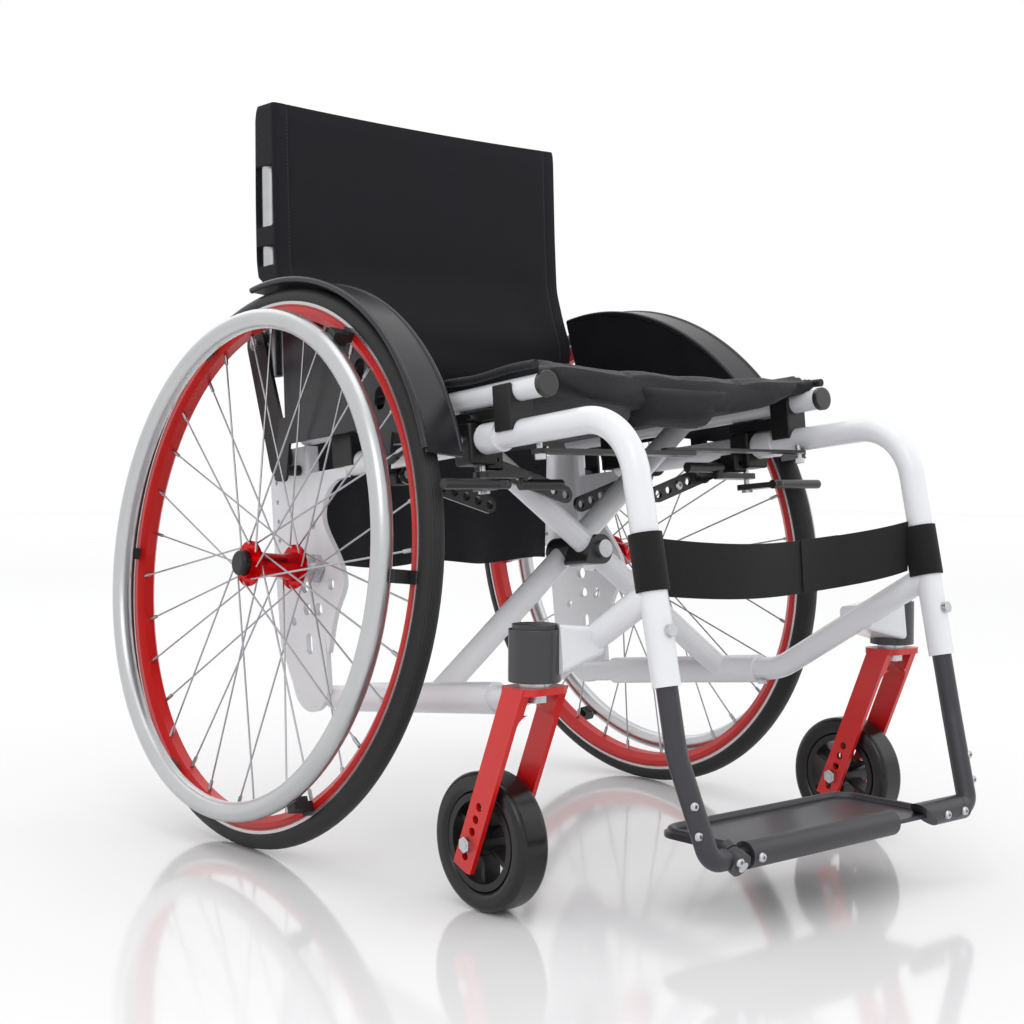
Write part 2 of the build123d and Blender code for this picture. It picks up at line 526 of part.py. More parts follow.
def leg_extension_left():
    """Left leg end: a slanted seat that the foot bar's free end drops onto."""
    seat = rod((FOOT_PIVOT_X + 16, FOOT_Y, FOOT_Z), (FOOT_PIVOT_X - 14, FOOT_Y, FOOT_Z), FOOT_BAR / 2)
    return leg_extension() + seat - free_end(0.0)


def free_end(back):
    """The half space above and inboard of the slanted seat, moved back along its normal."""
    slant = 48.0
    normal = Vector(-sin(radians(slant)), 0, cos(radians(slant)))
    at = Vector(FOOT_PIVOT_X, FOOT_Y, FOOT_Z) + normal * back
    plane = Plane(origin=at, x_dir=(0, 1, 0), z_dir=normal)
    return extrude(plane * Rectangle(60, 60), 60)


def footplate():
    """One-piece footplate: cross bar, tray, rear rim, hinge lug and slanted free end."""
    bar_r = FOOT_BAR / 2
    start = -FOOT_PIVOT_X + 15
    bar = rod((start, FOOT_Y, FOOT_Z), (FOOT_PIVOT_X + 14, FOOT_Y, FOOT_Z), bar_r) & (
        free_end(GAP) + block((start - 1, FOOT_Y - 20, 40), (60, FOOT_Y + 20, 100)))
    pivot, along = Vector(-FOOT_PIVOT_X, FOOT_Y, FOOT_Z), foot_axis()
    lug = rod(pivot - along * 3, pivot + along * 3, 10)
    neck_plane = Plane(origin=pivot - along * 3, x_dir=(1, 0, 0), z_dir=along)
    lug += extrude(neck_plane * (Pos(9, 0) * Rectangle(20, 13)), 6)
    lug -= rod(pivot - along * 9, pivot + along * 9, PIN_R + FIT)
    left, right, top = 132.0, -136.0, FOOT_Z
    tray = block((right, FOOT_Y, top - 4), (left, TRAY_REAR, top))
    tray = fillet(tray.edges().filter_by(Axis.Z).sort_by(Axis.Y)[-2:], 22)
    rim_path = FilletPolyline((right + 5, FOOT_Y + 8, top), (right + 5, TRAY_REAR - 5, top),
                              (left - 5, TRAY_REAR - 5, top), (left - 5, FOOT_Y + 8, top), radius=22)
    return bar + lug + tray + round_bar(rim_path, 10)


def foot_screws():
    """Bright screws of the foot bar: hinge pin and the bar's own pair."""
    pivot, along = Vector(-FOOT_PIVOT_X, FOOT_Y, FOOT_Z), foot_axis()
    pin = rod(pivot - along * 13, pivot + along * 10.5, PIN_R)
    return pin + rod(pivot - along * 14, pivot - along * 11.1, 5)


# ---- cross brace and seat rails --------------------------------------------------
def brace(which):
    """One arm with its hinge sleeve, drawn right foot first, and its collar at the pivot."""
    at = Vector(0, ARM_S[which], 0)
    foot, head = Vector(-LOWER_X, 0, LOWER_H) + at, Vector(RAIL_X, 0, RAIL_H) + at
    along = (head - foot).normalized()
    weld = 22.0
    arm = rod(foot, head, TUBE / 2)
    arm += rod((-LOWER_X, SLEEVE_FRONT, LOWER_H), (-LOWER_X, SLEEVE_REAR, LOWER_H), SLEEVE / 2)
    arm -= rod(foot + along * weld, head - along * weld, TUBE / 2 - WALL)
    bush = Pos(0, ARM_S[which], PIVOT_H) * Rot(90, 0, 0) * Cylinder(PIVOT_BOLT_R + 3, TUBE)
    arm += bush & rod(foot, head, TUBE / 2 - WALL / 2)
    arm -= rod((-LOWER_X, SLEEVE_FRONT - 9, LOWER_H), (-LOWER_X, SLEEVE_REAR + 9, LOWER_H), TUBE / 2 + FIT)
    arm -= rod((RAIL_X, -450, RAIL_H), (RAIL_X, 60, RAIL_H), RAIL_TUBE / 2 + 0.02)
    front, rear = COLLAR[which]
    plane = Plane(origin=(0, rear, PIVOT_H), x_dir=(1, 0, 0), z_dir=(0, -1, 0))
    outline = make_hull([*Circle(COLLAR_R).edges(), *(Pos(20, -12) * Circle(3)).edges()])
    collar = extrude(plane * outline, rear - front) - rod(foot, head, TUBE / 2 + 0.02)
    clearance = FIT if which == "b" else 0.02
    bolt_hole = rod((0, -300, PIVOT_H), (0, -100, PIVOT_H), PIVOT_BOLT_R + clearance)
    pieces = [on_slope(piece - bolt_hole) for piece in (arm, collar)]
    return pieces if which == "a" else [mirrored(piece) for piece in pieces]


def pivot_bolt():
    """Bolt through both braces, with its round head and its nut."""
    front, rear = COLLAR["b"][0] - 0.1, COLLAR["a"][1] + 0.1
    bolt = rod((0, front - 2, PIVOT_H), (0, rear + 9, PIVOT_H), PIVOT_BOLT_R)
    bolt += rod((0, front - 6.5, PIVOT_H), (0, front, PIVOT_H), 9.5)
    nut = hex_prism((0, rear, PIVOT_H), (0, 1, 0), 17, 7)
    nut -= rod((0, rear - 9, PIVOT_H), (0, rear + 12, PIVOT_H), PIVOT_BOLT_R + 0.02)
    return [on_slope(bolt), on_slope(nut)]


def seat_rail():
    """Seat tube (left) and the plug in its front end."""
    tube = round_tube(Line((RAIL_X, RAIL_FRONT, RAIL_H), (RAIL_X, RAIL_REAR, RAIL_H)), RAIL_TUBE)
    cap = rod((RAIL_X, RAIL_FRONT - 7, RAIL_H), (RAIL_X, RAIL_FRONT - 0.05, RAIL_H), 12.3)
    cap = fillet(cap.edges().filter_by(GeomType.CIRCLE), 1.2)
    return [on_slope(tube), on_slope(cap)]


# ---- upholstery ---------------------------------------------------------------------
def seat_sling():
    """Padded seat on the rails, sagging between them, with the pouch under its front."""
    top = block((-206, -402, RAIL_H + 11.4), (206, -6, RAIL_H + 26), 5)
    sag = block((-160, -398, RAIL_H - 8), (160, -10, RAIL_H + 16), 6)
    pouch = block((-105, -402, RAIL_H - 30), (45, -330, RAIL_H), 6)
    return on_slope(top + sag + pouch)


def backrest_cover():
    """Back sling from its top edge down, slack at the seat, and the skirt behind the seat."""
    def band(points, half):
        side = Plane(origin=(-half, 0, 0), x_dir=(0, 1, 0), z_dir=(1, 0, 0))
        return extrude(side * make_face(Polyline(*points, close=True)), 2 * half)
    upper = band([(86, 806), (96.5, 806), (95.5, 604), (70, 556), (60, 520), (68, 478), (56, 478),
                  (48, 520), (56, 560), (84, 612)], 208)
    lower = band([(56, 490), (68, 490), (72, 440), (72, 282), (62, 282), (62, 440)], 182)
    return upper + lower


def calf_strap():
    """Webbing band between the legs, behind the shins."""
    return block((-181, -483, 291), (181, -479.5, 341))


# ---- the whole chair ---------------------------------------------------------------
def side_nodes():
    """Nodes built for the left side and mirrored to the right."""
    return {
        "tyre": tyre(), "rim": rim(), "spokes": spokes(), "hub": hub(), "handrim": handrim(),
        "release_button": release_button(), "axle": axle(),
        "caster_tyre": caster_tyre(), "caster_wheel": caster_wheel(), "caster_fork": caster_fork(),
        "caster_hardware": caster_hardware(), "caster_housing": caster_housing(),
        "upper_rail": upper_rail(), "front_tube": front_tube(), "lower_tube": lower_tube(),
        "axle_plate": axle_plate(), "rail_fittings": rail_fittings(), "back_cane": back_cane(),
        "side_guard": side_guard(), "brake_arm": brake_arm(), "link": link(),
        "frame_screws": frame_screws(), "seat_rail": seat_rail(),
    }


def as_solids(shape):
    items = shape if isinstance(shape, (list, ShapeList)) else [shape]
    return [solid for item in items for solid in item.solids()]


def all_nodes():
    nodes = {}
    for name, shape in side_nodes().items():
        solids = as_solids(shape)
        nodes[name + "_left"] = solids
        nodes[name + "_right"] = [mirrored(solid) for solid in solids]
    nodes["leg_extension_right"] = as_solids(leg_extension_right())
    nodes["leg_extension_left"] = as_solids(leg_extension_left())
    nodes["brake_lever_left"] = as_solids(brake_lever(GRIP_CRANK))
    nodes["brake_lever_right"] = as_solids(mirrored(brake_lever(-GRIP_CRANK)))
    nodes["cross_bar_right"] = as_solids(bar_half(-1))
    nodes["cross_bar_left"] = as_solids(bar_half(1))
    nodes["brace_a"] = as_solids(brace("a"))
    nodes["brace_b"] = as_solids(brace("b"))
    nodes["pivot_bolt"] = as_solids(pivot_bolt())
    nodes["footplate"] = as_solids(footplate())
    nodes["foot_hinge_pin"] = as_solids(foot_screws())
    nodes["seat_sling"] = as_solids(seat_sling())
    nodes["backrest_cover"] = as_solids(backrest_cover())
    nodes["calf_strap"] = as_solids(calf_strap())
    return nodes


def main():
    os.makedirs("parts", exist_ok=True)
    for name, solids in all_nodes().items():
        placed = [Pos(0, MID_Y, 0) * solid for solid in solids]
        shape = placed[0] if len(placed) == 1 else Compound(children=placed)
        export_step(shape, f"parts/{name}.step")


main()
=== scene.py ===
"""Looks for the folding manual wheelchair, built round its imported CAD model.

Metres, in the model's own frame: +Z up, the chair faces -Y, +X is the occupant's left.
Each surface is a grid of points worked out with numpy and each finish is made of nodes.
The folding frame slopes down to the rear, so many pieces are laid out in "slope
coordinates": x, then s along the slope to the rear, then h square to it.
"""
import json
from math import cos, pi, radians, sin

import bpy
import bmesh
import numpy as np
from mathutils import Matrix, Vector


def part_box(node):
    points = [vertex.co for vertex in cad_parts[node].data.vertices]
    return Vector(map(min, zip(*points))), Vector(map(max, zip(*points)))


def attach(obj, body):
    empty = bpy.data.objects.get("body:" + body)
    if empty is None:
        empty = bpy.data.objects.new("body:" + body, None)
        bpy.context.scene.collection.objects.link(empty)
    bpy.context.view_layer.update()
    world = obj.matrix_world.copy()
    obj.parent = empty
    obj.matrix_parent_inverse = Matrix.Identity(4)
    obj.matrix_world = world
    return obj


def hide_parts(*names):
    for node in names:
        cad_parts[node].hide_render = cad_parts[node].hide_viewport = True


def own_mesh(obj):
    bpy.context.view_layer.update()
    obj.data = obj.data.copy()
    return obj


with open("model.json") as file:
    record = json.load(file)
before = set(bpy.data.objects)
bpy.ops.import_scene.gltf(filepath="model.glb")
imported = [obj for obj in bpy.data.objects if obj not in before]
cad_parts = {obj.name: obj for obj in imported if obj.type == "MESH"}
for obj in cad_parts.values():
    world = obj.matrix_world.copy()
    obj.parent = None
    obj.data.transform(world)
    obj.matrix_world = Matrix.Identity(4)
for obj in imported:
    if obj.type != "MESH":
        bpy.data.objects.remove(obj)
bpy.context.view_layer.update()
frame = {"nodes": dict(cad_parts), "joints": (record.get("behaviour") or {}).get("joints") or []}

SIDES = {"left": 1.0, "right": -1.0}
JOINTS = {joint["name"]: joint for joint in frame["joints"]}
SLOPE = radians(6.0)
MID_Y = 0.1379                  # the wheels' centres stand this far behind the origin
BACK_SEAM = 0.182               # the back's middle panel meets its sleeves here
SEAT_HALF = 0.2035              # half the seat pad's width
SKIRT_HALF = 0.181              # half the width of the cloth behind the seat
STRAP_HALF = 0.186              # half the calf strap's length between the legs
LEG_X = 0.197                   # the legs' and rails' centre lines, each side of the middle
PIVOT_H = 0.2869                # the braces' pivot, square to the slope


def sloped(x, s, h):
    """Slope coordinates in metres, as arrays or numbers, turned into points of the frame."""
    x, s, h = np.broadcast_arrays(x, s, h)
    return np.stack([x, s * cos(SLOPE) + h * sin(SLOPE) + MID_Y, h * cos(SLOPE) - s * sin(SLOPE)], -1)


# ---- shader nodes as Python values --------------------------------------------------
class Value:
    """A shader socket; Python's operators add the Math nodes that work it out."""

    def __init__(self, finish, socket):
        self.finish, self.socket = finish, socket

    def math(self, operation, *values):
        return self.finish.add("Math", {"operation": operation}, dict(enumerate(values)))

    def __add__(self, other):
        return self.math("ADD", self, other)

    def __sub__(self, other):
        return self.math("SUBTRACT", self, other)

    def __mul__(self, other):
        return self.math("MULTIPLY", self, other)

    def __truediv__(self, other):
        return self.math("DIVIDE", self, other)

    def __radd__(self, other):
        return self.math("ADD", other, self)

    def __rsub__(self, other):
        return self.math("SUBTRACT", other, self)

    def __rmul__(self, other):
        return self.math("MULTIPLY", other, self)

    def __abs__(self):
        return self.math("ABSOLUTE", self)

    def wave(self):
        return self.math("SINE", self)

    def root(self):
        return self.math("SQRT", self)

    def step(self, low, high):
        """0 below low, 1 above high, smooth between; falls instead if low is above high."""
        limits = {"Value": self, "From Min": low, "From Max": high}
        return self.finish.add("MapRange", {"interpolation_type": "SMOOTHSTEP"}, limits)


class Finish:
    """A material being made; add() makes any node."""

    def __init__(self, name, color, rough, metal=0.0, coat=0.0, coat_rough=0.1, sheen=0.0, gloss=0.5):
        self.material = bpy.data.materials.new(name)
        self.material.use_nodes = True
        self.tree = self.material.node_tree
        self.shader = self.tree.nodes["Principled BSDF"]
        self.color = color
        fixed = {"Base Color": (*color, 1), "Roughness": rough, "Metallic": metal, "Coat Weight": coat,
                 "Coat Roughness": coat_rough, "Sheen Weight": sheen, "Sheen Roughness": 0.5,
                 "Specular IOR Level": gloss}
        for socket, value in fixed.items():
            self.shader.inputs[socket].default_value = value

    def join(self, value, socket):
        if isinstance(value, Value):
            self.tree.links.new(value.socket, socket)
        else:
            socket.default_value = value

    def add(self, kind, settings, sockets, output=0):
        node = self.tree.nodes.new("ShaderNode" + kind)
        for key, value in settings.items():
            setattr(node, key, value)
        for key, value in sockets.items():
            self.join(value, node.inputs[key])
        return Value(self, node.outputs[output])

    def set(self, **links):
        for key, value in links.items():
            self.join(value, self.shader.inputs[key.replace("_", " ")])
        return self

    def place(self):
        return self.add("TexCoord", {}, {}, 3)

    def axes(self):
        split = self.add("SeparateXYZ", {}, {0: self.place()})
        return [Value(self, split.socket.node.outputs[i]) for i in range(3)]

    def noise(self, scale, detail=2.0, stretch=(1, 1, 1)):
        at = self.add("Mapping", {}, {"Vector": self.place(), "Scale": stretch})
        return self.add("TexNoise", {}, {"Vector": at, "Scale": scale, "Detail": detail})

    def mix(self, share, first, second):
        """A colour between two, by a share from 0 to 1."""
        colors = [c if isinstance(c, Value) else (*c, 1) for c in (first, second)]
        return self.add("Mix", {"data_type": "RGBA"}, {0: share, 6: colors[0], 7: colors[1]}, 2)

    def bump(self, height, distance, strength=1.0):
        found = self.add("Bump", {}, {"Height": height, "Distance": distance, "Strength": strength})
        return self.set(Normal=found)

    def ring(self, center, axis):
        """Distance from an axle, and distance along it, in metres."""
        from_center = self.add("VectorMath", {"operation": "SUBTRACT"}, {0: self.place(), 1: center})
        along = self.add("VectorMath", {"operation": "DOT_PRODUCT"}, {0: from_center, 1: axis}, 1)
        reach = self.add("VectorMath", {"operation": "LENGTH"}, {0: from_center}, 1)
        return (reach * reach - along * along).root(), along


def tinted(color, share):
    return tuple(min(1.0, c * share) for c in color)


# ---- finishes -----------------------------------------------------------------------
def paint(name, color, rough=0.3, coat=0.5, metal=0.0):
    """Powder coat: a faint orange peel, and a little tone from place to place."""
    finish = Finish(name, color, rough, metal, coat, 0.12)
    tone = finish.noise(14, 3)
    peel = finish.noise(900, 2)
    finish.set(Base_Color=finish.mix(tone, tinted(color, 0.93), tinted(color, 1.04)),
               Roughness=rough - 0.05 + tone * 0.1)
    return finish.bump(peel, 0.0002, 0.25).material


def machined(name, color, rough, stretch=(1, 1, 1)):
    """Bare metal with fine tool marks that stretch along one way."""
    finish = Finish(name, color, rough, 1.0)
    marks, cloud = finish.noise(1200, 2, stretch), finish.noise(60, 3)
    finish.set(Base_Color=finish.mix(cloud, tinted(color, 0.86), tinted(color, 1.08)),
               Roughness=rough - 0.08 + marks * 0.12 + cloud * 0.06)
    return finish.bump(marks, 0.0001, 0.3).material


def moulded(name, color, rough, grain=0.5):
    """Moulded plastic: spark-eroded grain and slightly shinier worn places."""
    finish = Finish(name, color, rough, coat=0.03, coat_rough=0.3, gloss=0.4)
    pits, wear = finish.noise(1600, 2), finish.noise(25, 4)
    finish.set(Base_Color=finish.mix(wear, tinted(color, 0.8), tinted(color, 1.35)),
               Roughness=rough - 0.07 + wear * 0.14)
    return finish.bump(pits, 0.0002, grain).material


def tyre_rubber(name, center, axis):
    """Rubber with two moulded lines on each wall and a fine file tread round the crown."""
    finish = Finish(name, (0.012, 0.012, 0.014), 0.5, coat=0.04, coat_rough=0.4, gloss=0.35)
    radius, along = finish.ring(center, axis)
    line = abs(radius - 0.2782).step(0.0009, 0.0003) + abs(radius - 0.2815).step(0.0007, 0.0002)
    crown = radius.step(0.2915, 0.2925)
    tread = (along * 2600.0).wave() * crown
    dust = finish.noise(35, 4)
    finish.set(Base_Color=finish.mix(dust, (0.009, 0.009, 0.010), (0.018, 0.018, 0.020)),
               Roughness=0.42 + dust * 0.2)
    return finish.bump(line + tread * 0.5 + finish.noise(1500) * 0.3, 0.0004, 0.8).material


def rim_paint(name, center, axis):
    """Deep red rim with a bright brake edge, and a groove beside it whose colour is darkened as painted
    shade.
    """
    bright = (0.55, 0.56, 0.57)
    finish = Finish(name, RED, 0.35, coat=0.2, gloss=0.4)
    radius, _ = finish.ring(center, axis)
    edge, groove = radius.step(0.2755, 0.2759), abs(radius - 0.2735).step(0.0008, 0.0004)
    cloud = finish.noise(18, 3)
    body = finish.mix(cloud, tinted(RED, 0.85), tinted(RED, 1.08))
    # painted shade: the groove's colour is mixed towards near-black red, standing in for shade in the
    # recess
    groove_shaded_body = finish.mix(groove * 0.75, body, (0.05, 0.004, 0.004))
    finish.set(Base_Color=finish.mix(edge, groove_shaded_body, bright), Metallic=edge * 0.9, Roughness=0.36 - edge * 0.1)
    return finish.bump(0.0 - groove + finish.noise(900) * 0.1, 0.0004, 0.6).material


def ring_metal(name, center, axis):
    """Satin polished push ring; whatever stands off its tube is a black spacer tab."""
    silver, black = (0.56, 0.57, 0.58), (0.01, 0.01, 0.011)
    finish = Finish(name, silver, 0.3, 1.0)
    radius, along = finish.ring(center, axis)
    off_ring, off_plane = radius - 0.256, along - 0.037
    tab = (off_ring * off_ring + off_plane * off_plane).root().step(0.0107, 0.0109)
    cloud, marks = finish.noise(20, 3), finish.noise(700, 2, (1, 0.1, 0.1))
    metal = finish.mix(cloud, tinted(silver, 0.9), tinted(silver, 1.05))
    finish.set(Base_Color=finish.mix(tab, metal, black), Metallic=1.0 - tab,
               Roughness=0.26 + marks * 0.1 + tab * 0.15)
    return finish.bump(marks, 0.0001, 0.25).material


def rail_paint(white, black):
    """White seat rail whose front plug is black plastic."""
    finish = Finish("seat_rail_finish", white, 0.3, coat=0.5)
    _, y, z = finish.axes()
    along = (y - MID_Y) * cos(SLOPE) - z * sin(SLOPE)
    plug, peel = along.step(-0.4048, -0.4050), finish.noise(900)
    tone = finish.noise(14, 3)
    body = finish.mix(tone, tinted(white, 0.93), tinted(white, 1.04))
    finish.set(Base_Color=finish.mix(plug, body, black), Roughness=0.3 + plug * 0.15)
    return finish.bump(peel, 0.0002, 0.25).material


def brace_paint(name, arm_s, lean, white, black):
    """White tube; the hub round the pivot, wherever it stands off the tube, is black plastic."""
    finish = Finish(name, white, 0.3, coat=0.5)
    pivot = sloped(0.0, arm_s, PIVOT_H)
    arm_axis = sloped(lean * 0.387, 0.0, 0.287) - sloped(0.0, 0.0, 0.0)
    from_arm, _ = finish.ring(pivot, arm_axis / np.linalg.norm(arm_axis))
    from_pivot, _ = finish.ring(pivot, sloped(0.0, 1.0, 0.0) - sloped(0.0, 0.0, 0.0))
    hub = from_arm.step(0.01258, 0.01266) * from_pivot.step(0.0285, 0.0280)
    tone = finish.noise(14, 3)
    body = finish.mix(tone, tinted(white, 0.93), tinted(white, 1.04))
    finish.set(Base_Color=finish.mix(hub, body, black), Roughness=0.3 + hub * 0.15)
    return finish.bump(finish.noise(900), 0.0002, 0.25).material


def nylon(name, color):
    """Tight plain weave with a soft shine: two fine crossing waves and cloudy tone."""
    finish = Finish(name, color, 0.55, sheen=0.06, gloss=0.35)
    x, y, z = finish.axes()
    warp, weft = (x * 7000.0).wave(), ((y + z) * 7000.0).wave()
    cloud, crumple = finish.noise(22, 4), finish.noise(70, 3, (1, 2.2, 2.2))
    finish.set(Base_Color=finish.mix(cloud, tinted(color, 0.75), tinted(color, 1.35)),
               Roughness=0.48 + cloud * 0.16)
    return finish.bump(warp * weft * 0.05 + crumple + finish.noise(330, 2) * 0.25, 0.0016, 0.5).material


def spacer_mesh(name, color, seam_x):
    """Knitted mesh: fine open cells in a diagonal grid, with a row of stitches near both edges."""
    finish = Finish(name, color, 0.8, sheen=0.04, gloss=0.25)
    x, _, z = finish.axes()
    cell = (((x + z) * 2600.0).wave() * ((x - z) * 2600.0).wave()).step(-0.1, 0.9)
    seam = abs(abs(x) - seam_x).step(0.0011, 0.0005) * (z * 1500.0).wave().step(-0.3, 0.1)
    cloud = finish.noise(12, 3)
    thread = finish.mix(cloud, tinted(color, 0.9), tinted(color, 1.25))
    woven = finish.mix(cell * 0.6, thread, tinted(color, 0.25))
    finish.set(Base_Color=finish.mix(seam, woven, (0.035, 0.035, 0.04)), Roughness=0.85 - cell * 0.1)
    return finish.bump(1.0 - cell + seam * 0.8, 0.0005, 0.6).material


def webbing(name, color):
    """Woven webbing: fine ribs along and across the band, with cloudy tone."""
    finish = Finish(name, color, 0.8, sheen=0.05, gloss=0.25)
    x, y, z = finish.axes()
    rib = ((x + y) * 3600.0).wave() * (z * 3000.0).wave()
    cloud = finish.noise(40, 3)
    finish.set(Base_Color=finish.mix(cloud, tinted(color, 0.75), tinted(color, 1.3)),
               Roughness=0.75 + cloud * 0.15)
    return finish.bump(rib * 0.4 + cloud, 0.0004, 0.6).material


WHITE, BLACK, GRAPHITE = (0.80, 0.81, 0.84), (0.008, 0.008, 0.009), (0.045, 0.045, 0.052)
RED, CLOTH = (0.60, 0.006, 0.005), (0.0060, 0.0060, 0.0095)
white_paint = paint("white_powder_coat", WHITE)
red_paint = paint("red_powder_coat", RED, 0.38, 0.3)
red_anodised = machined("red_anodised", (0.62, 0.008, 0.012), 0.3)
graphite_paint = paint("graphite_coat", GRAPHITE, 0.42, 0.15, 0.4)
housing_paint = paint("housing_coat", (0.040, 0.040, 0.044), 0.4, 0.2, 0.2)
black_metal = paint("black_coat", BLACK, 0.38, 0.25)
black_plastic = moulded("black_plastic", BLACK, 0.42)
guard_plastic = moulded("guard_plastic", (0.012, 0.012, 0.015), 0.30, 0.15)
caster_rubber = moulded("caster_rubber", (0.006, 0.006, 0.007), 0.22, 0.1)
bright_steel = machined("bright_steel", (0.58, 0.59, 0.61), 0.26)
spoke_wire = machined("spoke_wire", (0.46, 0.46, 0.48), 0.3)
cane_metal = machined("cane_metal", (0.50, 0.51, 0.52), 0.3, (1, 1, 0.1))
seat_rail_paint = rail_paint(WHITE, BLACK)
seat_cloth = nylon("seat_cloth", CLOTH)
back_cloth = spacer_mesh("back_mesh", (0.0085, 0.0085, 0.0125), 0.192)
strap_cloth = webbing("strap_webbing", (0.010, 0.010, 0.010))


def wheel_axis(side):
    joint = JOINTS[f"wheel_{side}_spin"]
    return np.array(joint["pos_m"]), np.array(joint["axis"])


def finish_cad_nodes():
    """Every CAD piece that stays in view gets its own finish."""
    shared = {"spokes": spoke_wire, "hub": red_anodised, "release_button": black_plastic,
              "axle": bright_steel, "caster_tyre": caster_rubber, "caster_wheel": black_plastic,
              "caster_fork": red_paint, "caster_hardware": bright_steel, "caster_housing": housing_paint,
              "upper_rail": white_paint, "front_tube": white_paint, "lower_tube": white_paint,
              "axle_plate": white_paint, "rail_fittings": black_plastic, "back_cane": cane_metal,
              "side_guard": guard_plastic, "brake_lever": black_metal, "brake_arm": black_metal,
              "link": black_metal, "frame_screws": bright_steel, "seat_rail": seat_rail_paint,
              "leg_extension": graphite_paint, "cross_bar": black_metal}
    chosen = {f"{node}_{side}": finish for node, finish in shared.items() for side in SIDES}
    for side in SIDES:
        center, axis = wheel_axis(side)
        chosen[f"tyre_{side}"] = tyre_rubber(f"tyre_rubber_{side}", center, axis)
        chosen[f"rim_{side}"] = rim_paint(f"rim_paint_{side}", center, axis)
        chosen[f"handrim_{side}"] = ring_metal(f"push_ring_{side}", center, axis)
    chosen.update(brace_a=brace_paint("brace_a_finish", -0.204, 1, WHITE, BLACK),
                  brace_b=brace_paint("brace_b_finish", -0.244, -1, WHITE, BLACK),
                  pivot_bolt=bright_steel,
                  footplate=graphite_paint, foot_hinge_pin=bright_steel)
    for node, finish in chosen.items():
        mesh = frame["nodes"][node].data
        mesh.materials.clear()
        mesh.materials.append(finish)


# ---- surfaces ---------------------------------------------------------------------------
def surface(name, grid, finish, loop_rows=False, loop_cols=False, capped=False, smooth=50):
    """A mesh from a grid of points: rows and columns may close on themselves, ends may be capped."""
    rows, cols = grid.shape[:2]
    index = np.arange(rows * cols).reshape(rows, cols)
    if loop_rows:
        index = np.vstack([index, index[:1]])
    if loop_cols:
        index = np.hstack([index, index[:, :1]])
    corners = [index[:-1, :-1], index[:-1, 1:], index[1:, 1:], index[1:, :-1]]
    faces = np.stack(corners, -1).reshape(-1, 4).tolist()
    if capped:
        faces += [index[0, :cols].tolist(), index[-1, :cols].tolist()]
    mesh = bpy.data.meshes.new(name)
    mesh.from_pydata(grid.reshape(-1, 3).tolist(), [], faces)
    return finished(name, mesh, finish, smooth)


def finished(name, mesh, finish, smooth=50):
    """Merge what meets, point the faces outwards, smooth the gentle edges and give the finish."""
    work = bmesh.new()
    work.from_mesh(mesh)
    bmesh.ops.remove_doubles(work, verts=work.verts, dist=1e-6)
    bmesh.ops.recalc_face_normals(work, faces=work.faces)
    work.to_mesh(mesh)
    work.free()
    mesh.shade_smooth()
    mesh.set_sharp_from_angle(angle=radians(smooth))
    mesh.materials.append(finish)
    made = bpy.data.objects.new(name, mesh)
    bpy.context.scene.collection.objects.link(made)
    return made


def across(direction):
    """Two unit directions square to a third."""
    direction = np.asarray(direction, float)
    is_steep = abs(direction[2]) >= 0.9 * np.linalg.norm(direction)
    helper = np.array([1.0, 0.0, 0.0]) if is_steep else np.array([0.0, 0.0, 1.0])
    first = np.cross(direction, helper)
    first /= np.linalg.norm(first)
    second = np.cross(direction, first)
    return first, second / np.linalg.norm(second)


def turned(name, at, axis, profile, finish, sides=32, smooth=35):
    """Surface of revolution: each (radius, height) of the profile carried round an axis."""
    axis = np.asarray(axis, float) / np.linalg.norm(axis)
    first, second = across(axis)
    turn = np.linspace(0, 2 * pi, sides, endpoint=False)[:, None]
    round_it = np.cos(turn) * first + np.sin(turn) * second
    profile = np.asarray(profile, float)
    grid = np.asarray(at) + profile[:, 1, None, None] * axis + profile[:, 0, None, None] * round_it[None]
    return surface(name, grid, finish, loop_cols=True, capped=True, smooth=smooth)


def along_path(name, points, section, finish, closed=False, up=None):
    """A (across, up) section carried along a path, kept upright or turned as little as possible."""
    points, section = np.asarray(points, float), np.asarray(section, float)
    ahead, behind = np.roll(points, -1, 0), np.roll(points, 1, 0)
    if not closed:
        ahead[-1], behind[0] = points[-1], points[0]
    tangent = ahead - behind
    tangent /= np.linalg.norm(tangent, axis=1, keepdims=True)
    start_up = up if up is not None else across(tangent[0])[1]
    raised = np.broadcast_to(np.asarray(start_up, float), points.shape)
    side = np.cross(tangent, raised)
    side /= np.linalg.norm(side, axis=1, keepdims=True)
    raised = np.cross(side, tangent)
    grid = points[:, None] + section[None, :, :1] * side[:, None] + section[None, :, 1:] * raised[:, None]
    return surface(name, grid, finish, loop_rows=closed, loop_cols=True, capped=not closed)


def circle(radius, sides=16):
    turn = np.linspace(0, 2 * pi, sides, endpoint=False)
    return np.stack([radius * np.cos(turn), radius * np.sin(turn)], -1)


def rounded(half_wide, half_high, radius, steps=5):
    """Outline of a rounded rectangle: four corner arcs joined by straight sides."""
    turn = np.linspace(0, pi / 2, steps)
    corners = [(1, 1, 0), (-1, 1, pi / 2), (-1, -1, pi), (1, -1, 3 * pi / 2)]
    arcs = [np.stack([sx * (half_wide - radius) + radius * np.cos(turn + start),
                      sy * (half_high - radius) + radius * np.sin(turn + start)], -1)
            for sx, sy, start in corners]
    return np.concatenate(arcs)


def on_body(made, body):
    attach(made, body)
    return made


